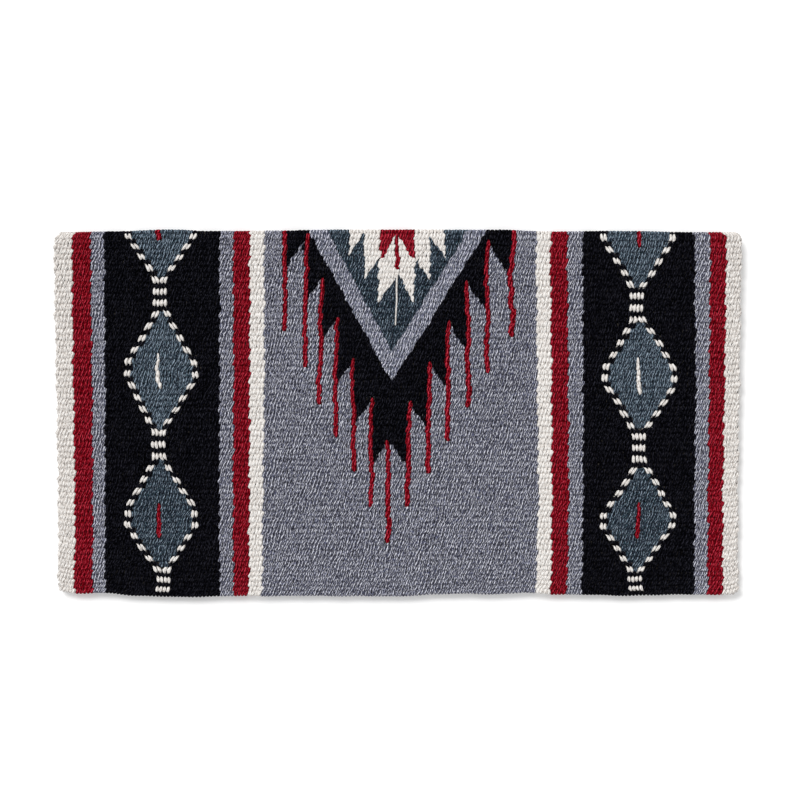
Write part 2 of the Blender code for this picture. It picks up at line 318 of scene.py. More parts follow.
# The red lines: name, axis as points (across, down), first and last pixel down, and how thick
# they start and end, as a share of two wefts.
red_lines = (
    ("left_1", ((284.5, 232), (285.0, 270), (284.6, 297), (285.2, 308), (284.4, 329)),
     200, 331, 1.22, 1.24),
    ("left_2", ((308.3, 235), (306.8, 246), (306.6, 269), (305.3, 290), (305.4, 313),
                (304.8, 367)), 235, 368, 1.16, 1.30),
    ("left_3", ((322.4, 278), (321.3, 298), (320.3, 316), (321.2, 340), (320.0, 365),
                (318.9, 380), (319.5, 403)), 278, 404, 1.16, 1.36),
    ("left_4", ((339.0, 317), (336.6, 325), (336.2, 352), (335.2, 370), (336.0, 381),
                (335.0, 393), (336.2, 435)), 317, 437, 1.10, 1.30),
    ("left_5", ((353.0, 359), (352.0, 390), (353.7, 415), (353.6, 447), (354.2, 470)),
     358, 471, 1.04, 1.42),
    ("left_6", ((372.2, 399), (370.5, 408), (371.2, 435), (370.6, 452), (372.0, 480),
                (370.6, 505)), 398, 506, 1.10, 1.36),
    ("middle", ((387.5, 440), (388.0, 470), (388.4, 515), (388.8, 528), (386.7, 541)),
     440, 542, 1.22, 1.53),
    ("right_6", ((410.0, 401), (409.8, 410), (408.8, 435), (408.4, 465), (407.5, 486),
                 (407.8, 507)), 401, 507, 1.22, 1.53),
    ("right_5", ((430.3, 362), (429.0, 390), (429.0, 410), (428.2, 446), (427.6, 473)),
     362, 474, 1.22, 1.47),
    ("right_4", ((448.5, 321), (447.8, 340), (448.0, 390), (447.8, 427), (447.3, 440)),
     321, 441, 1.22, 1.47),
    ("right_3", ((466.9, 281), (467.3, 308), (469.3, 340), (467.4, 359), (468.8, 388),
                 (468.4, 406)), 281, 407, 1.16, 1.47),
    ("right_2", ((487.9, 241), (486.4, 268), (487.2, 290), (488.0, 323), (487.0, 342),
                 (487.4, 373)), 241, 373, 1.16, 1.36),
    ("right_1", ((514.2, 233), (513.0, 253), (510.2, 280), (512.3, 290), (509.8, 304),
                 (513.2, 311), (511.8, 337)), 200, 337, 1.34, 1.65),
    ("core", ((397.0, 236), (397.2, 270)), 236, 270, 0.85, 1.30))
line_picks = 2

# The short lines in the diamonds, the same way, and their wool.
dashes = (
    ("left_1", ((158.8, 229), (158.4, 237), (157.6, 243)), 200, 241, 1.50, 1.50, "red_wool"),
    ("left_2", ((158.5, 354), (156.6, 371), (159.0, 388)), 353, 388, 0.73, 1.30, "white_wool"),
    ("left_3", ((158.0, 502), (158.2, 537)), 502, 537, 0.85, 1.42, "red_wool"),
    ("right_1", ((640.0, 229), (640.0, 249)), 200, 248, 1.20, 1.10, "red_wool"),
    ("right_2", ((638.0, 358), (640.6, 394)), 358, 394, 0.85, 1.30, "white_wool"),
    ("right_3", ((640.4, 502), (637.4, 538)), 502, 538, 0.85, 1.36, "red_wool"))

# A chain of diamonds, with its outline: the widest half of a diamond, each diamond's tips and how
# fast its edge leaves them, and the axis as points (across, down).
neck_half = 3.75
chains = {
    "left": {
        "widest": 33.6,
        "diamonds": ((150.0, 280.0, 0.66, 0.66), (310.8, 431.4, 0.57, 0.57),
                     (458.3, 570.1, 0.60, 0.69)),
        "axis": ((161.5, 230), (160.7, 266), (161.0, 302), (161.8, 349), (161.9, 374),
                 (160.7, 398), (158.4, 445), (161.0, 481), (161.2, 519), (162.0, 548),
                 (163.2, 576), (163.2, 596)),
    },
    "right": {
        "widest": 35.0,
        "diamonds": ((150.0, 289.5, 0.61, 0.61), (317.2, 433.5, 0.60, 0.62),
                     (463.7, 572.2, 0.61, 0.665)),
        "axis": ((639.2, 230), (639.4, 264), (637.8, 285), (638.0, 308), (640.2, 331),
                 (641.0, 366), (641.7, 403), (640.6, 425), (640.5, 449), (642.0, 483),
                 (640.0, 515), (638.3, 537), (637.5, 560), (636.5, 596)),
    },
}
last_chain_rib = 62
outline_picks = 4           # on each side of a chain, white and black in turn
diamond_margin = 9          # pixels past a diamond's tips, where its slate may still run

# How far the edge of each stripe on the side of the centre strays to the right of its straight
# line in the CAD model, in pixels, at four heights of the photograph.
stray_heights = (270.0, 380.0, 500.0, 580.0)
stripe_strays = {
    "left": {
        "end_band": (-0.5, -0.5, 0.3, -0.6), "outer_red": (-1.0, 0.0, 0.3, -0.2),
        "outer_grey": (0.0, 0.4, 0.2, 0.0), "black_band": (1.5, 1.4, 0.8, 1.3),
        "inner_grey": (1.1, 1.4, 0.6, 1.0), "inner_red": (1.4, 1.2, 0.6, 0.2),
        "inner_white": (3.2, 3.3, 1.7, 0.9)},
    "right": {
        "end_band": (2.1, 1.7, 0.7, 0.7), "outer_red": (1.4, 1.0, 0.0, -0.2),
        "outer_grey": (-1.0, 0.6, -0.6, -0.5), "black_band": (-1.1, -0.4, -0.5, -1.6),
        "inner_grey": (-1.5, -0.6, 0.1, -1.4), "inner_red": (-2.7, -1.4, -0.9, -1.8),
        "inner_white": (-2.8, -1.7, -0.1, -2.5)}}


def pick_middle(pick):
    return left_end + (np.asarray(pick) + 0.5) * pick_spacing


def pick_at(x):
    return (x - left_end) / pick_spacing


def middle_of(axis):
    return metres_across(np.mean([across for across, _ in axis]))


def half_width_of_chain(chain, down):
    """Half the way between a chain's two outlines at a place down the picture, in pixels."""
    half = np.full_like(down, neck_half)
    for top, bottom, slope_top, slope_bottom in chain["diamonds"]:
        rise = np.minimum((down - top) * slope_top, (bottom - down) * slope_bottom)
        half = np.maximum(half, np.minimum(neck_half + rise, chain["widest"]))
    return half


# Wefts lie a regular way apart, except that they move a little sideways to meet the drawn lines:
# the edges of the stripes, the upright edges of the star, the thin lines and the diamonds'
# outlines. There is one row of places for the fold and then one for each rib of a leaf.
row_count = ribs_per_leaf + 1


def place_of_row(row, x):
    """How far down the picture a row lies, in pixels."""
    if row == 0:
        return np.full_like(x, down_pixel(-fold_rib_pitch / 2))
    return down_pixel(rib_depth(row - 1, x))


stripe_of_pick = np.full(pick_count, number_for("centre_field"))
stripe_edges = []
for side, strays in stripe_strays.items():
    for stripe in stripe_order:
        low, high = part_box(f"front_{stripe}_{side}")
        first, last = (round(pick_at(edge)) for edge in (low.x, high.x))
        stripe_of_pick[first:last] = number_for(f"{stripe}_{side}")
        inner_edge = (last, high.x) if side == "left" else (first, low.x)
        stripe_edges.append((*inner_edge, strays[stripe]))

upright_width, upright_height = 2, 12       # pixels: an upright edge is narrower and taller
star_edges = [
    (start, end) for line in (star_line, core_line) for start, end in zip(line, line[1:])
    if abs(end[0] - start[0]) < upright_width and abs(end[1] - start[1]) > upright_height]

# A lane is the two wefts of a thin line, from its first weft on.
Lane = collections.namedtuple("Lane", "first axis top bottom thin thick section")
lanes = [
    Lane(round(pick_at(middle_of(axis)) - line_picks / 2), axis, *ends_and_sizes[:4],
         number_for(f"{kind}_{name}"))
    for kind, lines in (("red_line", red_lines), ("dash", dashes))
    for name, axis, *ends_and_sizes in lines]

Chain = collections.namedtuple("Chain", "axis_pick slate_half axis half diamond")
woven_chains = []
outline_runs = []
for side, chain in chains.items():
    middle = middle_of(chain["axis"])
    down = np.array([place_of_row(row, middle) for row in range(row_count)])
    half = half_width_of_chain(chain, down) * photo_pixel
    slate_half = 2 * np.round((half / pick_spacing - outline_picks / 2) / 2).astype(int).clip(0)
    diamond = np.zeros(row_count, int)
    for number, (top, bottom, *_) in enumerate(chain["diamonds"], start=1):
        inside = (down > top - diamond_margin) & (down < bottom + diamond_margin)
        diamond[inside] = number_for(f"diamond_{side}_{number}")
    axis_pick = 2 * round(pick_at(middle) / 2)
    axis = metres_across(axis_at(chain["axis"], down))
    woven_chains.append(Chain(axis_pick, slate_half, axis, half, diamond))
    for k in range(outline_picks):
        # they step sideways by two wefts at a rib, so that their places over and under the
        # warps still alternate
        section = number_for(f"{'outline_dark' if k % 2 else 'diamond_outline'}_{side}")
        outline_runs.append((section, axis_pick - outline_picks - slate_half + k))
        outline_runs.append((section, axis_pick + slate_half + k))

# The beads beside a thin line or an upright edge move over, so that it runs straight down instead
# of in steps. The shares are of the way from one weft to the next.
line_pull = 0.44
edge_pull = 0.36
stripe_pull = 0.18
pull_reach = 3.0            # wefts
pull_picks = 8              # the last weft on each side that is pulled
pull_beyond = 6.0           # pixels
lane_fade = 26.0            # pixels past a line's ends, over which its wefts go back in their row
least_room, most_room = 0.55, 1.4
weft_shift = np.zeros((pick_count, row_count))
top_pull = np.zeros((pick_count, row_count))
line_room = np.zeros((pick_count, row_count))
chain_cells = np.zeros((pick_count, row_count), int)      # -1 where the outline runs


def pull_beads(row, first, width, share):
    """Beads of the same turn as the first weft move to the right, the others to the left."""
    near = np.arange(max(first - pull_picks, 0), min(first + width + pull_picks, pick_count))
    away = np.maximum(np.abs(near - first - (width - 1) / 2) - 1, 0)
    turn = np.where((near - first) % 2 == 0, 1, -1)
    top_pull[near, row] += turn * share * pick_spacing * np.exp(-away / pull_reach)


def put_lane(knots, first, last, left, right):
    """Both sides of a lane take the place of any other knots there."""
    for pick in [pick for pick in knots if first <= pick <= last]:
        del knots[pick]
    knots[first], knots[last] = [left], [right]


def put_edges(row, knots):
    for pick, edge, strays in stripe_edges:
        down = place_of_row(row, np.asarray(edge))
        stray = np.interp(down, stray_heights, strays) * photo_pixel
        knots[pick].append(edge + stray)
        pull_beads(row, pick, 0, stripe_pull)
    for start, end in star_edges:
        middle = metres_across((start[0] + end[0]) / 2)
        down = place_of_row(row, middle)
        upper_end, lower_end = sorted((start, end), key=lambda point: point[1])
        pick = round(pick_at(middle))
        knots[pick].append(metres_across(axis_at((upper_end, lower_end), down)))
        if upper_end[1] - pull_beyond < down < lower_end[1] + pull_beyond:
            pull_beads(row, pick, 0, edge_pull)


def put_lines(row, knots):
    for lane in lanes:
        down = float(place_of_row(row, metres_across(lane.axis[0][0])))
        top_seen = max(lane.top, regular_fold_line)
        faded = max(top_seen - down, down - lane.bottom, 0) / lane_fade
        if faded > 1:
            continue
        middle = metres_across(axis_at(lane.axis, down))
        middle += faded * (left_end + (lane.first + line_picks / 2) * pick_spacing - middle)
        thickness = np.interp(down, (top_seen, lane.bottom), (lane.thin, lane.thick))
        half_lane = (thickness + faded * (1 - thickness)) * pick_spacing
        after = lane.first + line_picks
        put_lane(knots, lane.first, after, middle - half_lane, middle + half_lane)
        line_room[lane.first:after, row] = half_lane / pick_spacing
        if lane.top - pull_beyond < down < lane.bottom + pull_beyond:
            pull_beads(row, lane.first, line_picks, line_pull * half_lane / pick_spacing)


def put_chains(row, knots):
    for chain in woven_chains:
        inner = chain.slate_half[row]
        outer = inner + outline_picks
        chain_cells[chain.axis_pick - outer:chain.axis_pick + outer, row] = -1
        chain_cells[chain.axis_pick - inner:chain.axis_pick + inner, row] = chain.diamond[row]
        for sign in (-1, 1):
            picks = sorted((chain.axis_pick + sign * inner, chain.axis_pick + sign * outer))
            middle = chain.axis[row] + sign * chain.half[row]
            half_outline = outline_picks / 2 * pick_spacing
            put_lane(knots, *picks, middle - half_outline, middle + half_outline)
        if not inner:
            knots[chain.axis_pick] = [chain.axis[row]]


regular_place = pick_middle(np.arange(pick_count))
for row in range(row_count):
    knots = collections.defaultdict(list)
    put_edges(row, knots)
    put_lines(row, knots)
    if row - 1 <= last_chain_rib:
        put_chains(row, knots)
    order = sorted(knots)
    grid_place = left_end + np.array(order) * pick_spacing
    drawn_place = np.maximum.accumulate([np.mean(knots[pick]) for pick in order])
    weft_shift[:, row] = np.interp(
        regular_place, [left_end, *grid_place, left_end + blanket_width],
        [0, *(drawn_place - grid_place), 0])

weft_room = np.gradient(regular_place[:, None] + weft_shift, axis=0) / pick_spacing
weft_room = np.where(line_room > 0, line_room, weft_room.clip(least_room, most_room))


def weft_place(rib, pick):
    return pick_middle(pick) + weft_shift[pick, rib_in_leaf[rib] + 1]


def weft_course(rib, place, pick, next_rib, next_pick):
    """Where a weft lies at a place between two ribs, and how fast it goes away from the fold."""
    swing = np.abs(place)
    x = weft_place(rib, pick) * (1 - swing) + weft_place(next_rib, next_pick) * swing
    leaf_rib = rib_in_leaf[rib]
    near_rib = np.maximum(leaf_rib, 0)
    middle = rib_depth(near_rib, x)
    nearer_fold, further = neck_depth(near_rib, x), neck_depth(near_rib + 1, x)
    forward = away_from_fold[body_of_rib[rib]]
    to_neck = np.where(place * forward > 0, further - middle, middle - nearer_fold)
    depth = np.where(leaf_rib >= 0, middle + forward * 2 * place * to_neck,
                     np.abs(fold_travel(rib, place)) - fold_rib_pitch)
    return x, depth, forward * 2 * to_neck


# The colour of every weft along its whole length, in fine steps.
steps_per_rib = 16
course_place = (np.arange(rib_count * steps_per_rib) + 0.5) / steps_per_rib - 0.5
course_rib = np.floor(course_place + 0.5).astype(int)


def colours_of_wefts():
    place = course_place - course_rib
    next_rib = np.clip(course_rib + np.where(place > 0, 1, -1), 0, rib_count - 1)
    shape = (pick_count, len(course_rib))
    pick = np.broadcast_to(np.arange(pick_count)[:, None], shape)
    rib, place, next_rib = (np.broadcast_to(v, shape) for v in (course_rib, place, next_rib))
    x, depth, _ = weft_course(rib, place, pick, next_rib, pick)
    across, down = across_pixel(x), down_pixel(depth)
    code = np.repeat(stripe_of_pick[:, None], len(course_rib), axis=1)
    field = code == number_for("centre_field")
    for name, line in centre_shapes.items():
        inside = field & (across > line[0][0]) & (across < line[-1][0])
        code[inside & (down < line_at(line, across))] = number_for(name)
    cells = chain_cells[:, rib_in_leaf[course_rib] + 1]
    code = np.where(cells != 0, cells, code)
    for lane in lanes:
        wefts = slice(lane.first, lane.first + line_picks)
        inside = (down[wefts] > lane.top) & (down[wefts] < lane.bottom)
        code[wefts][inside] = lane.section
    return code, across, down


weft_colours, course_across, course_down = colours_of_wefts()
steepest_cut = 3.5
nearest_line = 3.0          # pixels
slope_reach = 0.6           # pixels on each side, over which a line's slope is measured


def slanting_cut(pick, step):
    """Where a weft changes its colour between two fine steps, and how fast that place moves away
    from the fold as one goes to the right: the drawn line cuts the yarn at a slant."""
    at = course_place[step] - 0.5 / steps_per_rib
    across = (course_across[pick, step] + course_across[pick, step - 1]) / 2
    down = (course_down[pick, step] + course_down[pick, step - 1]) / 2
    line = min(centre_shapes.values(), key=lambda line: abs(down - line_at(line, across)))
    before, after = line_at(line, (across - slope_reach, across + slope_reach))
    slope = (after - before) / (2 * slope_reach)
    if abs(down - line_at(line, across)) > nearest_line or abs(slope) > steepest_cut:
        return at, 0.0
    return at, slope


# The yarns. A weft's shape goes from the middle of a bead to the neck between two ribs: place, as
# a share of the way from one rib to the next, then half its width and half its thickness there.
bead_places = (0.0, 0.10, 0.30, 0.50)
WeftForm = collections.namedtuple(
    "WeftForm", "half_widths half_thicknesses lean_share rise_share chance_share end_taper")
plain_weft = WeftForm(
    half_widths=(0.00246, 0.00242, 0.00222, 0.00142),
    half_thicknesses=(0.00130, 0.00130, 0.00140, 0.00152),
    lean_share=1.0, rise_share=1.0, chance_share=1.0, end_taper=0.0)
white_weft = plain_weft._replace(
    half_widths=(0.00268, 0.00264, 0.00244, 0.00146),
    half_thicknesses=(0.00130, 0.00132, 0.00146, 0.00160))
line_weft = WeftForm(
    half_widths=(0.00244, 0.00244, 0.00232, 0.00204),
    half_thicknesses=(0.00140, 0.00140, 0.00168, 0.00205),
    lean_share=0.2, rise_share=1.06, chance_share=0.5, end_taper=0.8)
outline_weft = WeftForm(
    half_widths=(0.00232, 0.00228, 0.00204, 0.00150),
    half_thicknesses=(0.00140, 0.00142, 0.00160, 0.00190),
    lean_share=0.0, rise_share=1.05, chance_share=1.0, end_taper=0.0)
dark_outline_weft = plain_weft._replace(lean_share=0.0)

weft_rise = 0.00215         # the middle of a weft above the middle of the cloth, on a warp
bead_roundness = 0.8        # a bead is flat on top and steep at its ends if this is small
least_bend = 0.1            # keeps a weft's slope finite where it crosses the cloth's middle
bead_lean = 0.00046
neck_lean = 0.00018
outer_picks = 2             # at each end of the blanket
edge_neck_half_width = 0.0018       # of those, and of a weft that turns round the free edge
edge_turn_radius = 0.0026
plies = 4
yarn_sides = 2 * plies
ply_groove = 0.88           # the yarn's radius between two plies, as a share
yarn_turn = 0.060           # of yarn for one turn of its twist
yarn_per_rib = 0.0089
cap_shrink = 0.86           # of the yarn's radius, at the smaller ring beyond its end
cap_reach = 0.12            # of its half thickness, from its end to that ring
bead_tone_share, pick_tone_share = 0.65, 0.35
painted_top_light_power = 0.35         # how wide the painted highlight on top of a bead is

# What chance does to the wefts. One lies over its neighbours a little before or after the middle
# between two ribs, but not at the hinges or the free edge.
width_spread, rise_spread, lean_spread = 0.045, 0.07, 0.45      # shares of the regular size
place_spread, neck_spread = 0.00022, 0.00014
slip_spread, slip_limit = 0.085, 2      # of the way between two ribs, and in spreads
spare_picks = 8             # drawn too, but not woven
edge_and_hinge_necks = [0, ribs_per_leaf, ribs_per_leaf + 1, ribs_per_leaf + 2, rib_count]

chance = np.random.default_rng(20)
drawn_picks = pick_count + spare_picks
bead_shape, neck_shape = (drawn_picks, rib_count), (drawn_picks, rib_count + 1)
width_chance = 1 + width_spread * chance.standard_normal(bead_shape)
rise_chance = 1 + rise_spread * chance.standard_normal(bead_shape)
place_chance = place_spread * chance.standard_normal(bead_shape)
neck_chance = neck_spread * chance.standard_normal(neck_shape)
neck_slip = slip_spread * chance.standard_normal(neck_shape).clip(-slip_limit, slip_limit)
neck_slip[:, edge_and_hinge_necks] = 0
lean_chance = 1 + lean_spread * chance.standard_normal(bead_shape)
tone_chance = chance.uniform(0, 1, bead_shape)
pick_tone = chance.uniform(0, 1, drawn_picks)
twist_start = chance.uniform(0, 1, drawn_picks)

# The rest is in ribs.
ring_places = np.array((-0.5, -0.3, -0.1, 0.1, 0.3))
ring_gap = 0.08             # the least way from a ring to the yarn's end
slant_length = 1.2          # over which a slanting end straightens
slant_limit = 0.4           # of that length
slant_per_slope = 0.0027 / 0.0072
narrow_tip = 0.35           # of a tapered line's width
body_end = 0.4              # past a body's outer rib, a line goes on and isn't tapered

# A weft's stretch of one colour: where it starts and ends, its pick at every rib, and the slopes
# of the drawn lines that cut it.
Run = collections.namedtuple("Run", "start end picks start_slope end_slope", defaults=(0.0, 0.0))


def run_rings(run):
    """The places of a run's rings. Both of its ends come twice, for the smaller rings there."""
    first_rib, last_rib = math.floor(run.start + 0.5), math.ceil(run.end - 0.5)
    at = (np.arange(first_rib, last_rib + 1)[:, None] + ring_places).ravel()
    at = at[(at > run.start + ring_gap) & (at < run.end - ring_gap)]
    return np.concatenate([[run.start] * 2, at, [run.end] * 2])


def lay_rings(rib, place, pick, next_rib, next_pick, form):
    """Where rings lie in the cloth, which way they face, and how big they are."""
    body = body_of_rib[rib]
    leaf_rib = rib_in_leaf[rib]
    on_leaf = leaf_rib >= 0
    outward = np.where((pick + rib) % 2 == 0, 1.0, -1.0)
    swing = np.abs(place) * 2
    x, depth, depth_rate = weft_course(rib, place, pick, next_rib, next_pick)
    x = x + top_pull[pick, leaf_rib + 1] * (1 - 0.5 * swing)
    # along the weft, in the direction of rising rib numbers
    forward = away_from_fold[body]
    turns = on_leaf & (leaf_rib == ribs_per_leaf - 1) & (place * forward > 0)
    turn = np.abs(place) * math.pi
    last_depth = rib_depth(np.maximum(leaf_rib, 0), x)
    depth = np.where(turns, last_depth + edge_turn_radius * np.sin(turn), depth)
    turn_rate = forward * edge_turn_radius * math.pi * np.cos(turn)
    depth_rate = np.where(turns, turn_rate, depth_rate)
    drift = depth_drift(x, depth)
    travel = np.where(on_leaf, forward * (depth + fold_rib_pitch), fold_travel(rib, place))
    along = np.where(on_leaf, forward * (depth + drift), (place + 0.5) * fold_rib_pitch)
    along_rate = np.where(on_leaf, forward * depth_rate, fold_rib_pitch)
    # sideways
    room = (weft_room[pick, leaf_rib + 1] * (1 - swing / 2)
            + weft_room[next_pick, rib_in_leaf[next_rib] + 1] * swing / 2)
    neck = rib + (place > 0)
    between = (pick + next_pick) // 2
    x = x + sideways_drift(x, travel)
    x = x + form.chance_share * (place_chance[pick, rib] * (1 - swing)
                                 + neck_chance[between, neck] * swing)
    lean = (bead_lean * lean_chance[pick, rib] * np.sin(math.tau * place)
            + neck_lean * np.sin(math.pi * place))
    x = x - outward * lean * form.lean_share
    x = np.where(turns, x + np.where(pick % 2 == 0, 0.5, -0.5) * pick_spacing * swing ** 2, x)
    # over and under the warps
    rise = outward * weft_rise * rise_chance[pick, rib] * form.rise_share
    crown = np.where(on_leaf, 0.0, crown_at(x))
    slipped = place - neck_slip[between, neck] * swing ** 2
    bend = np.cos(math.pi * slipped)
    height = (rise * np.sign(bend) * np.abs(bend) ** bead_roundness
              + crown * np.cos(math.pi * place))
    height_rate = -math.pi * np.sin(math.pi * slipped) * (
        rise * bead_roundness * np.abs(bend).clip(least_bend, 1) ** (bead_roundness - 1) + crown)
    stray = np.where(on_leaf, 0.0, hinge_stray(x))
    along = along + stray * np.cos(body_heading[body])
    height = height + stray * np.sin(body_heading[body])
    steps = np.stack([along_rate, height_rate])
    steps /= np.linalg.norm(steps, axis=0)
    # the yarn's own size and colour
    from_middle = 0.5 - np.abs(0.5 - np.abs(slipped))
    wide = np.interp(from_middle, bead_places, form.half_widths)
    thick = np.interp(from_middle, bead_places, form.half_thicknesses)
    at_end = (pick < outer_picks) | (pick >= pick_count - outer_picks)
    wide = np.where(at_end, np.maximum(wide, edge_neck_half_width), wide * room)
    wide = wide * (1 + (width_chance[pick, rib] - 1) * (1 - swing))
    wide = np.where(turns, np.maximum(wide, edge_neck_half_width), wide)
    tone = tone_chance[pick, rib] * bead_tone_share + pick_tone[pick] * pick_tone_share
    # which way a bead faces, for the painted highlight on its top and the painted shade at its sides
    facing = outward * np.sign(bend) * np.abs(bend) ** painted_top_light_power
    return x, along, height, steps, wide, thick, tone, facing


def into_frame(body, x, along, height):
    origin, angle = body_origin[body], body_heading[body]
    y = origin[0] + along * np.cos(angle) + height * np.sin(angle)
    z = origin[1] + along * np.sin(angle) - height * np.cos(angle)
    return np.stack([x, y, z], axis=1)


def mesh_from_arrays(name, points, corners, face_starts, maps, values_by_name):
    mesh = bpy.data.meshes.new(name)
    mesh.vertices.add(len(points))
    mesh.vertices.foreach_set("co", points.astype(np.float32).ravel())
    mesh.loops.add(len(corners))
    mesh.loops.foreach_set("vertex_index", corners.astype(np.int32))
    mesh.polygons.add(len(face_starts))
    mesh.polygons.foreach_set("loop_start", face_starts.astype(np.int32))
    mesh.update(calc_edges=True)
    mesh.polygons.foreach_set("use_smooth", np.ones(len(face_starts), bool))
    for map_name, values in maps.items():
        layer = mesh.uv_layers.new(name=map_name)
        layer.data.foreach_set("uv", values.astype(np.float32).ravel())
    for value_name, values in values_by_name.items():
        attribute = mesh.attributes.new(value_name, "FLOAT", "POINT")
        attribute.data.foreach_set("value", values.astype(np.float32))
    mesh.validate()
    return mesh


def wall_corners(rings, sides, ring_steps, side_steps):
    """The ring and the side of each corner of the walls between some rings and the next ones."""
    ring = rings[:, None, None] + np.array(ring_steps)
    side = np.arange(sides)[:, None] + np.array(side_steps)
    return np.broadcast_arrays(ring, side)


def slant_of_rings(runs, run, at):
    """How far a ring tilts along the weft, towards a drawn line that cuts the run at a slant."""
    starts, ends = np.transpose([(r.start, r.end) for r in runs])
    reach = np.minimum(slant_length, ends - starts)
    limit = slant_limit * reach[:, None]
    slopes = np.array([(r.start_slope, r.end_slope) for r in runs])
    slants = np.clip(slopes * slant_per_slope, -limit, limit)[run]
    from_start = np.clip(1 - (at - starts[run]) / reach[run], 0, 1)
    from_end = np.clip(1 - (ends[run] - at) / reach[run], 0, 1)
    return slants[:, 0] * from_start + slants[:, 1] * from_end


def taper_of_points(starts, ends, at, form, first_rib, last_rib):
    """How wide a line's yarn is near its ends, unless it goes on over the edge of the body."""
    from_start, from_end = at - starts, ends - at
    from_start[starts < first_rib - body_end] = form.end_taper
    from_end[ends > last_rib + body_end] = form.end_taper
    taper = np.minimum(from_start, from_end) / form.end_taper
    return narrow_tip + (1 - narrow_tip) * np.sqrt(np.clip(taper, 0, 1))


def nearest_rib(at, first_rib, last_rib):
    return np.clip(np.floor(at + 0.5).astype(int), first_rib, last_rib)


lane_margin = 0.02          # of a lane of the flat map, on both sides
cap_map_step = 0.0006       # of the flat map's height, for each ring of a cap
cap_yarn_step = 0.0003      # of yarn, from a cap's ring to its tip


def yarn_faces(picks, run, cap, tips, v, length):
    """Faces of the tubes, and their two maps: a flat one for the bake, with one lane for each
    pick, and one round and along the yarn for its twist and fibres."""
    sides = yarn_sides
    lane, lane_count = run, len(picks)      # wefts that step have a lane of their own
    if not np.ptp(picks, axis=1).any():
        used, lane_of_run = np.unique(picks[:, 0], return_inverse=True)
        lane, lane_count = lane_of_run[run], len(used)

    def places(ring, side):
        share = side / sides
        u = (lane[ring] + lane_margin + (1 - 2 * lane_margin) * share) / lane_count
        return np.stack([u, v[ring, side % sides], share, length[ring]], axis=-1)

    joined = np.flatnonzero(run[1:] == run[:-1])
    ring, side = wall_corners(joined, sides, (0, 0, 1, 1), (0, 1, 1, 0))
    walls = ring * sides + side % sides
    wall_places = places(ring, side)
    # a fan of triangles closes each end
    after = (cap[tips] > 0)[:, None, None]
    side = np.arange(sides)[:, None] + np.where(after, (0, 1), (1, 0))
    ring = np.broadcast_to(tips[:, None, None], side.shape)
    tip_points = np.broadcast_to(
        (len(run) * sides + np.arange(len(tips)))[:, None, None], (len(tips), sides, 1))
    fans = np.concatenate([ring * sides + side % sides, tip_points], axis=2)
    rim = places(ring, side)
    beyond = cap[tips][:, None, None, None] * np.array((0, cap_map_step, 0, cap_yarn_step))
    fan_places = np.concatenate([rim, rim.mean(axis=2, keepdims=True) + beyond], axis=2)
    both = np.concatenate([wall_places.reshape(-1, 4), fan_places.reshape(-1, 4)])
    corners = np.concatenate([walls.ravel(), fans.ravel()])
    face_starts = np.concatenate([
        np.arange(0, walls.size, 4), walls.size + np.arange(0, fans.size, 3)])
    return corners, face_starts, {"OFBake": both[:, :2], "yarn_run": both[:, 2:]}


def yarn_mesh(name, runs, form=plain_weft, batch=0.0):
    """One mesh of all the runs: each a tube of twisted plies with a rounded cap at both ends.
    The batch makes its wool paler or darker, as one lot of dye differs from another."""
    sides = yarn_sides
    rings = [run_rings(run) for run in runs]
    run = np.repeat(np.arange(len(runs)), [len(ring) for ring in rings])
    at = np.concatenate(rings)
    last_ring = np.append(run[1:] != run[:-1], True)
    cap = last_ring.astype(int) - np.roll(last_ring, 1)     # -1 at a start, 1 at an end
    starts, ends = np.transpose([(r.start, r.end) for r in runs])
    picks = np.array([r.picks for r in runs])
    body = body_of_rib[round((starts[0] + ends[0]) / 2)]
    first_rib, last_rib = ribs_of_body[body][[0, -1]]
    # the yarn twists; where a drawn line cuts it at a slant, its end slants too
    rib = nearest_rib(at, first_rib, last_rib)
    length = at * yarn_per_rib + twist_start[picks[run, rib]]
    angle = (np.arange(sides) / sides + (length / yarn_turn)[:, None]) * math.tau
    crest = np.where(np.arange(sides) % 2 == 0, 1.0, ply_groove)
    crest = crest * np.where(cap == 0, 1.0, cap_shrink)[:, None]
    across, up = (crest * np.cos(angle)), (crest * np.sin(angle)).ravel()
    slant = slant_of_rings(runs, run, at) * away_from_fold[body]
    at = np.clip(at[:, None] + slant[:, None] * across, first_rib - 0.5, last_rib + 0.5)
    v = (at - first_rib + 0.5) / (last_rib - first_rib + 1) + cap_map_step * cap[:, None]
    # each point is laid in the cloth at its own place along the weft
    at, across = at.ravel(), across.ravel()
    rib = nearest_rib(at, first_rib, last_rib)
    place = at - rib
    next_rib = np.clip(rib + np.where(place > 0, 1, -1), 0, rib_count - 1)
    point_run = np.repeat(run, sides)
    x, along, height, steps, wide, thick, tone, facing = lay_rings(
        rib, place, picks[point_run, rib], next_rib, picks[point_run, next_rib], form)
    if form.end_taper:
        wide = wide * taper_of_points(
            starts[point_run], ends[point_run], at, form, first_rib, last_rib)
    lift = thick * up
    reach = cap_reach * thick * np.repeat(cap, sides)
    along = along + reach * steps[0] - lift * steps[1]
    height = height + reach * steps[1] + lift * steps[0]
    points = into_frame(body, x + wide * across, along, height)
    tips = np.flatnonzero(cap)
    tip_points = points.reshape(-1, sides, 3)[tips].mean(axis=1)
    tone = tone + batch
    top = facing * np.sin(angle).ravel()        # 1 on top of a bead, 0 at its sides and ends: painted highlight on top, painted shade at the sides
    values = {
        "bead_tone": np.append(tone, tone.reshape(-1, sides)[tips, 0]),
        "painted_top_light": np.append(top, np.zeros(len(tips)))}
    return mesh_from_arrays(name, np.concatenate([points, tip_points]),
                            *yarn_faces(picks, run, cap, tips, v, length), values)


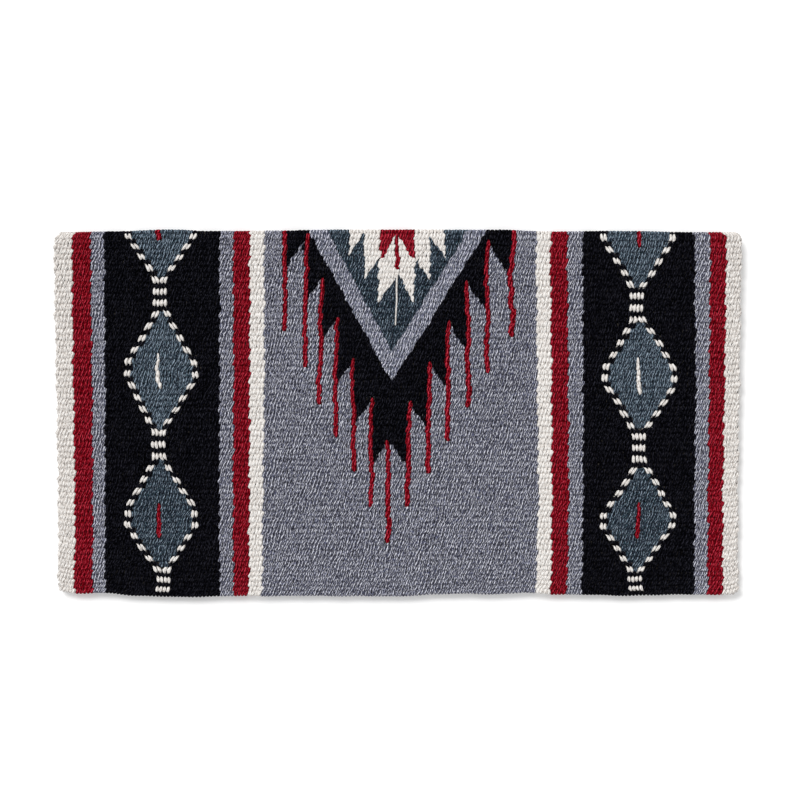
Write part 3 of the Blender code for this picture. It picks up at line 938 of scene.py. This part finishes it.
# The wool. Every kind is the same spun yarn, with values of its own.
wool_sockets = {
    "Dark Fibre": (0.1, 0.1, 0.1, 1), "Middle Fibre": (0.4, 0.4, 0.4, 1),
    "Light Fibre": (0.8, 0.8, 0.8, 1), "Tint Fibre": (0.4, 0.4, 0.5, 1),
    "Heather": 0.3, "Tint Amount": 0.1, "Painted Ply Light": 0.2, "Bead Contrast": 0.2, "Painted Top Light": 0.3,
    "Ply Shade": 0.25}
mix_inputs, mix_result = (0, 6, 7), 2       # the colour sockets of a Mix node
# Noise by its scale round the yarn, along it, and its detail
ply_noise = (2.2, 360.0, 0.0)
fibre_noise = (6.0, 430.0, 3.0)
fibre_noise_roughness = 0.6
# Noise by its scale over the cloth and its detail
slub_noise = (420.0, 2.0)
dye_noise = (34.0, 3.0)
# How strongly each shows
ply_gain, fibre_gain, slub_gain = 5.0, 2.4, 1.2
bead_gain, dye_gain, painted_top_light_gain, tint_gain = 1.6, 0.15, 2.0, 5.0
least_roughness = 0.82
ply_height, fibre_height = 0.7, 0.6
bump_strength, bump_distance = 0.8, 0.00035
sheen_roughness = 0.5


def spun_wool_group():
    """Spun yarn: plies that twist round each other, streaks of fibre, slow changes of dye, and
    painted light and shade on the crests of plies and the tops of beads.
    """
    group = bpy.data.node_groups.new("spun_wool", "ShaderNodeTree")
    for socket, default in wool_sockets.items():
        kind = "NodeSocketColor" if isinstance(default, tuple) else "NodeSocketFloat"
        made = group.interface.new_socket(name=socket, in_out="INPUT", socket_type=kind)
        made.default_value = default
    for socket, kind in (("Colour", "NodeSocketColor"), ("Roughness", "NodeSocketFloat"),
                         ("Height", "NodeSocketFloat")):
        group.interface.new_socket(name=socket, in_out="OUTPUT", socket_type=kind)
    nodes, links = group.nodes, group.links

    def node(kind, **settings):
        made = nodes.new(kind)
        for key, value in settings.items():
            setattr(made, key, value)
        return made

    def math_node(operation, *values, clamp=False):
        made = node("ShaderNodeMath", operation=operation, use_clamp=clamp)
        for slot, value in zip(made.inputs, values):
            if isinstance(value, float):
                slot.default_value = value
            else:
                links.new(value, slot)
        return made.outputs[0]

    def mix_colour(factor, first, second):
        made = node("ShaderNodeMix", data_type="RGBA", clamp_factor=True)
        for number, value in zip(mix_inputs, (factor, first, second)):
            links.new(value, made.inputs[number])
        return made.outputs[mix_result]

    def spread(value, gain):
        return math_node("MULTIPLY", math_node("SUBTRACT", value, 0.5), gain)

    def noise(at, scale, detail):
        made = node("ShaderNodeTexNoise", noise_dimensions="3D")
        made.inputs["Scale"].default_value = scale
        made.inputs["Detail"].default_value = detail
        links.new(at, made.inputs["Vector"])
        return made

    given = node("NodeGroupInput").outputs
    put_out = node("NodeGroupOutput").inputs
    split = node("ShaderNodeSeparateXYZ")
    links.new(node("ShaderNodeUVMap", uv_map="yarn_run").outputs[0], split.inputs[0])
    around, along = split.outputs[0], split.outputs[1]
    tone = node("ShaderNodeAttribute", attribute_name="bead_tone").outputs["Fac"]
    painted_top_light = node("ShaderNodeAttribute", attribute_name="painted_top_light").outputs["Fac"]
    place = node("ShaderNodeTexCoord").outputs["Object"]

    # the mesh of a yarn twists, so the place round it follows the plies
    angle = math_node("MULTIPLY", around, math.tau)
    ply_wave = math_node("COSINE", math_node("MULTIPLY", angle, float(plies)))
    ply_round = math_node("MULTIPLY_ADD", ply_wave, 0.5, 0.5)
    circle = (math_node("COSINE", angle), math_node("SINE", angle))

    def noise_in_yarn(round_scale, along_scale, detail):
        at = node("ShaderNodeCombineXYZ")
        scaled = [math_node("MULTIPLY", value, round_scale) for value in circle]
        scaled.append(math_node("MULTIPLY", along, along_scale))
        for value, slot in zip(scaled, at.inputs):
            links.new(value, slot)
        made = noise(at.outputs[0], 1.0, detail)
        made.inputs["Roughness"].default_value = fibre_noise_roughness
        return made.outputs["Fac"]

    ply_value = noise_in_yarn(*ply_noise)
    fibre_value = noise_in_yarn(*fibre_noise)

    # slubs and changes of fibre from one bit of yarn to the next, and of dye over the cloth
    slub = noise(place, *slub_noise)
    dye = noise(place, *dye_noise)
    fibres = math_node("ADD", spread(fibre_value, fibre_gain),
                       spread(slub.outputs["Fac"], slub_gain))
    heather = math_node("MULTIPLY", given["Heather"],
                        math_node("ADD", spread(ply_value, ply_gain), fibres))
    bead = math_node("MULTIPLY", given["Bead Contrast"], spread(tone, bead_gain))
    # painted light on the crest of each ply and painted shade in the grooves between plies
    painted_ply_light = math_node("MULTIPLY", given["Painted Ply Light"], ply_wave)
    dyed = spread(dye.outputs["Fac"], dye_gain)
    # painted highlight on top of a bead, and painted shade at its sides and in the gaps between beads
    crest = math_node("MULTIPLY", given["Painted Top Light"], spread(painted_top_light, painted_top_light_gain))
    total = math_node("ADD", math_node("ADD", heather, bead), math_node("ADD", dyed, painted_ply_light))
    total = math_node("ADD", total, crest)
    lighter = math_node("MULTIPLY", total, 1.0, clamp=True)
    darker = math_node("MULTIPLY", total, -1.0, clamp=True)
    colour = mix_colour(lighter, given["Middle Fibre"], given["Light Fibre"])
    colour = mix_colour(darker, colour, given["Dark Fibre"])
    patches = math_node("MULTIPLY", spread(slub.outputs["Color"], tint_gain), 1.0, clamp=True)
    tinted = math_node("MULTIPLY", given["Tint Amount"], patches)
    colour = mix_colour(tinted, colour, given["Tint Fibre"])
    groove = math_node("MULTIPLY", math_node("SUBTRACT", 1.0, ply_round), given["Ply Shade"])
    links.new(mix_colour(groove, colour, given["Dark Fibre"]), put_out["Colour"])

    rough = node("ShaderNodeMapRange")
    rough.inputs["To Min"].default_value = least_roughness
    links.new(fibre_value, rough.inputs["Value"])
    links.new(rough.outputs[0], put_out["Roughness"])
    height = math_node("ADD", math_node("MULTIPLY", ply_round, ply_height),
                       math_node("MULTIPLY", fibre_value, fibre_height))
    links.new(height, put_out["Height"])
    return group


def shade(screen_colour):
    """A colour as it is seen on a screen, 0 to 255, turned into the linear colour Blender takes."""
    shares = [channel / 255 for channel in screen_colour]
    linear = [c / 12.92 if c <= 0.04045 else ((c + 0.055) / 1.055) ** 2.4 for c in shares]
    return (*linear, 1.0)


spun_wool = spun_wool_group()


def wool(name, dark, middle, light, tint, heather, painted_ply_light, crest, tint_amount, bead_contrast,
         ply_shade, specular, sheen):
    material = bpy.data.materials.new(name)
    material.use_nodes = True
    nodes, links = material.node_tree.nodes, material.node_tree.links
    shader = nodes["Principled BSDF"]
    yarn = nodes.new("ShaderNodeGroup")
    yarn.node_tree = spun_wool
    for socket, value in (
            ("Dark Fibre", shade(dark)), ("Middle Fibre", shade(middle)),
            ("Light Fibre", shade(light)), ("Tint Fibre", shade(tint)), ("Heather", heather),
            ("Painted Ply Light", painted_ply_light), ("Tint Amount", tint_amount), ("Bead Contrast", bead_contrast),
            ("Ply Shade", ply_shade), ("Painted Top Light", crest)):
        yarn.inputs[socket].default_value = value
    links.new(yarn.outputs["Colour"], shader.inputs["Base Color"])
    links.new(yarn.outputs["Roughness"], shader.inputs["Roughness"])
    bump = nodes.new("ShaderNodeBump")
    bump.inputs["Strength"].default_value = bump_strength
    bump.inputs["Distance"].default_value = bump_distance
    links.new(yarn.outputs["Height"], bump.inputs["Height"])
    links.new(bump.outputs["Normal"], shader.inputs["Normal"])
    shader.inputs["Specular IOR Level"].default_value = specular
    shader.inputs["Sheen Weight"].default_value = sheen
    shader.inputs["Sheen Roughness"].default_value = sheen_roughness
    return material


# The wools, with their colours as they look, 0 to 255
# Each wool's crest value paints a highlight on the tops of beads and shade at their sides and between
# beads.
wool_kinds = {
    "white_wool": dict(
        dark=(160, 153, 148), middle=(234, 228, 222), light=(252, 251, 249), tint=(216, 202, 192),
        heather=0.8, painted_ply_light=0.35, crest=0.0, tint_amount=0.22, bead_contrast=0.12, ply_shade=0.15,
        specular=0.10, sheen=0.04),
    "red_wool": dict(
        dark=(40, 0, 3), middle=(124, 0, 13), light=(200, 58, 77), tint=(98, 4, 28),
        heather=0.65, painted_ply_light=0.45, crest=0.15, tint_amount=0.3, bead_contrast=0.12, ply_shade=0.3,
        specular=0.02, sheen=0.0),
    "grey_wool": dict(
        dark=(22, 22, 31), middle=(94, 95, 110), light=(230, 231, 241), tint=(104, 114, 164),
        heather=0.7, painted_ply_light=0.5, crest=0.2, tint_amount=0.4, bead_contrast=0.12, ply_shade=0.35,
        specular=0.07, sheen=0.02),
    "light_grey_wool": dict(
        dark=(30, 30, 41), middle=(116, 122, 139), light=(236, 236, 246), tint=(132, 124, 172),
        heather=0.68, painted_ply_light=0.48, crest=0.18, tint_amount=0.4, bead_contrast=0.12, ply_shade=0.35,
        specular=0.07, sheen=0.02),
    "black_wool": dict(
        dark=(1, 1, 2), middle=(3, 3, 5), light=(46, 46, 55), tint=(14, 16, 30),
        heather=0.65, painted_ply_light=0.25, crest=0.1, tint_amount=0.3, bead_contrast=0.2, ply_shade=0.4,
        specular=0.01, sheen=0.0),
    "slate_wool": dict(
        dark=(8, 13, 20), middle=(49, 59, 73), light=(154, 170, 185), tint=(44, 98, 104),
        heather=0.65, painted_ply_light=0.45, crest=0.18, tint_amount=0.3, bead_contrast=0.25, ply_shade=0.35,
        specular=0.04, sheen=0.015),
    "warp_wool": dict(
        dark=(34, 32, 30), middle=(66, 62, 58), light=(104, 98, 90), tint=(70, 62, 50),
        heather=0.4, painted_ply_light=0.1, crest=0.0, tint_amount=0.2, bead_contrast=0.2, ply_shade=0.3,
        specular=0.03, sheen=0.0)}
# Each wool also paints light on the crest of every ply and shade in the grooves between plies.
material_by_slot = {slot: wool(slot, **kind) for slot, kind in wool_kinds.items()}

# What each section is woven with, by the words that its name starts with
slot_of_section = {
    ("end_band", "inner_white", "diamond_outline", "star"): "white_wool",
    ("outer_red", "inner_red", "red_line", "core"): "red_wool",
    ("outer_grey", "inner_grey", "centre_field"): "grey_wool",
    ("chevron",): "light_grey_wool",
    ("black_band", "serration", "outline_dark"): "black_wool",
    ("diamond_left", "diamond_right", "medallion"): "slate_wool",
    **{(f"dash_{name}",): slot for name, *_, slot in dashes}}
form_of_section = {
    ("red_line", "dash"): line_weft,
    ("diamond_outline",): outline_weft,
    ("outline_dark",): dark_outline_weft,
    ("end_band", "inner_white", "star"): white_weft}
# How much paler or darker a section's wool was dyed than the rest of its colour
dye_batch_of_section = {
    ("diamond_outline", "dash_left_2", "dash_right_2", "inner_white", "star"): 1.2,
    ("core",): 1.1, ("outer_grey",): 0.35, ("centre_field",): -0.18,
    ("diamond_left_3", "diamond_right_3"): -0.5, ("medallion",): -0.72}


def by_start(name, table, otherwise=None):
    return next((value for words, value in table.items() if name.startswith(words)), otherwise)


# Weaving
colour_cut = 0.02           # of a rib, between two wefts that meet at a change of colour
shortest_run = 0.3          # of a rib: a shorter piece of colour joins its neighbour


def join_short(runs):
    """Runs of one weft, given with their sections, with the short ones joined to a neighbour."""
    n = 0
    while n < len(runs) and len(runs) > 1:
        run, section = runs[n]
        near = [m for m in (n - 1, n + 1) if 0 <= m < len(runs) and runs[m][1] >= 0]
        if run.end - run.start >= shortest_run or section < 0 or not near:
            n += 1
            continue
        longest = max(near, key=lambda m: runs[m][0].end - runs[m][0].start)
        longer, longer_section = runs[longest]
        if longest > n:
            longer = longer._replace(start=run.start, start_slope=run.start_slope)
        else:
            longer = longer._replace(end=run.end, end_slope=run.end_slope)
        runs[longest] = (longer, longer_section)
        del runs[n]
        n = 0
    return runs


def straight_runs(body):
    """For each section of one body, the stretches of weft that weave it."""
    found = collections.defaultdict(list)
    first_rib, last_rib = ribs_of_body[body][[0, -1]]
    low, high = first_rib - 0.5, last_rib + 0.5
    first_step = first_rib * steps_per_rib
    for pick in range(pick_count):
        colours = weft_colours[pick, first_step:(last_rib + 1) * steps_per_rib]
        changes = np.flatnonzero(np.diff(colours)) + 1
        cuts = [slanting_cut(pick, first_step + step) for step in changes]
        ends = [(low, 0.0), *cuts, (high, 0.0)]
        picks = np.full(rib_count, pick)
        runs = [(Run(start, end, picks, start_slope, end_slope), int(colours[step]))
                for (start, start_slope), (end, end_slope), step
                in zip(ends, ends[1:], (0, *changes))]
        for run, section in join_short(runs):
            if section < 0:
                continue
            start = run.start + (colour_cut if run.start > low else 0)
            end = run.end - (colour_cut if run.end < high else 0)
            found[section].append(run._replace(start=start, end=end))
    return found


def stepping_runs(body):
    """The wefts of the diamonds' outlines, which run on through the whole body."""
    found = collections.defaultdict(list)
    ribs = [rib for rib in ribs_of_body[body] if rib_in_leaf[rib] <= last_chain_rib]
    start, end = ribs[0] - 0.5, ribs[-1] + 0.5
    start += colour_cut if body == leaf_bodies["back"] else 0
    end -= colour_cut if body == leaf_bodies["front"] else 0
    for section, pick_by_row in outline_runs:
        picks = pick_by_row[np.minimum(rib_in_leaf, last_chain_rib) + 1]
        found[section].append(Run(start, end, picks))
    return found


def add_piece(name, mesh, body, slot, nodes=()):
    piece = bpy.data.objects.new(name, mesh)
    bpy.context.scene.collection.objects.link(piece)
    mesh.materials.append(material_by_slot[slot])
    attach(piece, body_names[body])
    if nodes:
        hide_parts(*nodes)
    return piece


leaf_pieces = {"back": [], "front": []}
for leaf, body in leaf_bodies.items():
    woven = straight_runs(body)
    for section, runs in stepping_runs(body).items():
        woven[section].extend(runs)
    for section, runs in sorted(woven.items()):
        name = section_names[section]
        batch = by_start(name, dye_batch_of_section, 0.0)
        form = by_start(name, form_of_section, plain_weft)
        mesh = yarn_mesh(f"{leaf}_{name}_wefts", runs, form, batch)
        node = f"{leaf}_{name}".replace("outline_dark", "diamond_outline")
        leaf_pieces[leaf].append(add_piece(
            f"{leaf}_{name}_wefts", mesh, body, by_start(name, slot_of_section),
            [node] if node in frame["nodes"] else []))

for rib_name, body in fold_bodies.items():
    woven = collections.defaultdict(list)
    for source in (straight_runs(body), stepping_runs(body)):
        for section, runs in source.items():
            woven[by_start(section_names[section], slot_of_section)].extend(runs)
    for slot, runs in sorted(woven.items()):
        name = f"fold_{rib_name}_{slot.replace('_wool', '')}_wefts"
        form = white_weft if slot == "white_wool" else plain_weft
        add_piece(name, yarn_mesh(name, runs, form), body, slot, [f"fold_rib_{rib_name}"])

# The warps: in each leaf one cord that turns at the ends, and a cord in each rib of the fold
warp_sides = 8
warp_steps = 90
warp_half_width = 0.0023
warp_flatness = 0.43        # the wefts press the warps flat
warp_turn_bulge = 0.0012
warp_end_inset = 0.0036
warp_reach = blanket_width / 2 - warp_end_inset
warp_x = np.linspace(-warp_reach, warp_reach, warp_steps)
warp_turn_steps = 9
warp_turn = np.linspace(-math.pi / 2, math.pi / 2, warp_turn_steps)[1:-1, None]
cord_tip = 0.6              # of a cord's radius: how small and how far out its last ring is


def sweep(name, path, radius, sides, flatness):
    """A cord along a path of points, closed at both ends."""
    step = np.gradient(path, axis=0)
    step /= np.linalg.norm(step, axis=1)[:, None]
    side = np.cross(step, (0.0, 0.0, 1.0))
    side /= np.linalg.norm(side, axis=1)[:, None]
    lift = np.cross(side, step) * flatness
    sizes = np.broadcast_to(radius, len(path))
    path = np.concatenate([path[:1] - step[:1] * sizes[0] * cord_tip, path,
                           path[-1:] + step[-1:] * sizes[-1] * cord_tip])
    side, lift, sizes = (np.concatenate([v[:1], v, v[-1:]]) for v in (side, lift, sizes))
    sizes[[0, -1]] *= cord_tip
    k = np.arange(sides)
    angle = k[:, None] / sides * math.tau
    points = path[:, None] + sizes[:, None, None] * (
        side[:, None] * np.cos(angle) + lift[:, None] * np.sin(angle))
    lengths = np.append(0, np.cumsum(np.linalg.norm(np.diff(path, axis=0), axis=1)))
    ring, edge = wall_corners(np.arange(len(path) - 1), sides, (0, 1, 1, 0), (0, 0, 1, 1))
    walls = ring * sides + edge % sides
    corners = np.concatenate([walls.ravel(), k, (len(path) - 1) * sides + k[::-1]])
    face_starts = np.append(np.arange(0, walls.size, 4), (walls.size, walls.size + sides))
    wall_map = np.stack([edge / sides, lengths[ring]], axis=-1).reshape(-1, 2)
    end_map = np.stack([np.tile(k / sides, 2), np.repeat(lengths[[0, -1]], sides)], axis=-1)
    return mesh_from_arrays(name, points.reshape(-1, 3), corners, face_starts,
                            {"yarn_run": np.concatenate([wall_map, end_map])}, {})


def warp_line(body, rib):
    """One pass of the warp across a leaf."""
    depth = rib_depth(rib, warp_x)
    forward = away_from_fold[body]
    shifted = warp_x + sideways_drift(warp_x, forward * (depth + fold_rib_pitch))
    along = forward * (depth + depth_drift(warp_x, depth))
    return into_frame(body, shifted, along, np.zeros(warp_steps))


def add_warp(name, path, body, nodes=()):
    mesh = sweep(name, path, warp_half_width, warp_sides, warp_flatness)
    return add_piece(name, mesh, body, "warp_wool", nodes)


warps = {}
for leaf, body in leaf_bodies.items():
    path = [warp_line(body, 0)]
    for rib in range(1, ribs_per_leaf):
        line = warp_line(body, rib)[::-1 if rib % 2 else 1]
        # the warp turns round the last weft, between this rib and the one before
        start, end = path[-1][-1], line[0]
        middle, half = (start + end) / 2, (end - start) / 2
        bulge = np.array((math.copysign(warp_turn_bulge, start[0]), 0, 0))
        path += [middle + half * np.sin(warp_turn) + bulge * np.cos(warp_turn), line]
    warps[leaf] = add_warp(f"{leaf}_warp", np.concatenate(path), body)

for rib_name, body in fold_bodies.items():
    stray = hinge_stray(warp_x)
    path = into_frame(
        body, warp_x + sideways_drift(warp_x, fold_travel(ribs_of_body[body][0])),
        fold_rib_pitch / 2 + stray * math.cos(body_heading[body]),
        crown_at(warp_x) + stray * math.sin(body_heading[body]))
    add_warp(f"fold_warp_{rib_name}_cord", path, body, [f"fold_warp_{rib_name}"])

# A thin white yarn runs down the star, over the ribs.
star_yarn = ((397.0, 277.0), (396.6, 288.0), (396.8, 300.0), (396.0, 312.0), (395.5, 325.0))
star_yarn_half_widths = (0.00125, 0.00085)
star_yarn_sides = 6
star_yarn_flatness = 0.5
star_yarn_height = 0.0034
star_yarn_sink = 0.00035    # between two ribs
star_yarn_steps = 60

star_yarn_down = np.linspace(star_yarn[0][1], star_yarn[-1][1], star_yarn_steps)
star_yarn_x = metres_across(axis_at(star_yarn, star_yarn_down))
star_yarn_depth = metres_deep(star_yarn_down)
star_yarn_ribs = np.interp(star_yarn_depth, rib_depth(leaf_ribs, star_yarn_x.mean()), leaf_ribs)
for leaf, body in leaf_bodies.items():
    sink = star_yarn_sink * (1 - np.cos(math.tau * star_yarn_ribs)) / 2
    along = star_yarn_depth + depth_drift(star_yarn_x, star_yarn_depth)
    path = into_frame(body, star_yarn_x, away_from_fold[body] * along, star_yarn_height - sink)
    mesh = sweep(f"{leaf}_star_yarn", path, np.linspace(*star_yarn_half_widths, star_yarn_steps),
                 star_yarn_sides, star_yarn_flatness)
    leaf_pieces[leaf].append(add_piece(f"{leaf}_star_yarn", mesh, body, "white_wool"))
    warps[leaf]
    leaf_pieces[leaf]

# The floor and the light
floor_half = 6.0
floor_drop = 0.0006         # below the blanket, so that its yarns clear the floor
floor_colour, floor_roughness = (0.93, 0.93, 0.93, 1), 0.9
floor_glow = 0.16           # for the camera only, so that the floor shows white
sky_light, sky_seen = 0.58, 1.0
lamp_energy, lamp_angle = 2.0, 24
lamp_tilt = (-32, -26, 0)
white = (1, 1, 1, 1)


def seen_directly(nodes, links):
    """1 for what the camera sees, also in gloss or through glass, and 0 for light on objects."""
    rays = nodes.new("ShaderNodeLightPath").outputs
    seen = rays["Is Camera Ray"]
    for kind in ("Is Glossy Ray", "Is Transmission Ray"):
        either = nodes.new("ShaderNodeMath")
        either.operation = "MAXIMUM"
        links.new(seen, either.inputs[0])
        links.new(rays[kind], either.inputs[1])
        seen = either.outputs[0]
    return seen


def pale_floor():
    material = bpy.data.materials.new("pale_floor")
    material.use_nodes = True
    nodes, links = material.node_tree.nodes, material.node_tree.links
    paint = nodes["Principled BSDF"]
    paint.inputs["Base Color"].default_value = floor_colour
    paint.inputs["Roughness"].default_value = floor_roughness
    paint.inputs["Specular IOR Level"].default_value = 0.0
    glow = nodes.new("ShaderNodeEmission")
    glow.inputs["Color"].default_value = white
    strength = nodes.new("ShaderNodeMath")
    strength.operation = "MULTIPLY"
    strength.inputs[1].default_value = floor_glow
    links.new(seen_directly(nodes, links), strength.inputs[0])
    links.new(strength.outputs[0], glow.inputs["Strength"])
    together = nodes.new("ShaderNodeAddShader")
    links.new(paint.outputs[0], together.inputs[0])
    links.new(glow.outputs[0], together.inputs[1])
    links.new(together.outputs[0], nodes["Material Output"].inputs["Surface"])
    return material


def studio():
    world = bpy.data.worlds.new("studio")
    world.use_nodes = True
    nodes, links = world.node_tree.nodes, world.node_tree.links
    sky = nodes["Background"]
    sky.inputs["Color"].default_value = white
    ambient = nodes.new("ShaderNodeMapRange")
    ambient.inputs["To Min"].default_value = sky_light
    ambient.inputs["To Max"].default_value = sky_seen
    links.new(seen_directly(nodes, links), ambient.inputs["Value"])
    links.new(ambient.outputs[0], sky.inputs["Strength"])
    return world


floor_mesh = bpy.data.meshes.new("floor")
floor_corners = [(x * floor_half, y * floor_half, 0) for x, y in ((-1, -1), (1, -1), (1, 1), (-1, 1))]
floor_mesh.from_pydata(floor_corners, [], [(0, 1, 2, 3)])
floor_mesh.materials.append(pale_floor())
floor = bpy.data.objects.new("floor", floor_mesh)
floor.location.z = -floor_drop
bpy.context.scene.collection.objects.link(floor)
floor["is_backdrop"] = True

lamp_data = bpy.data.lights.new("soft_window", "SUN")
lamp_data.energy = lamp_energy
lamp_data.angle = math.radians(lamp_angle)
lamp = bpy.data.objects.new("soft_window", lamp_data)
lamp.rotation_euler = [math.radians(angle) for angle in lamp_tilt]
bpy.context.scene.collection.objects.link(lamp)

bpy.context.scene.world = studio()
bpy.context.scene.view_settings.view_transform = "Standard"

low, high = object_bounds()
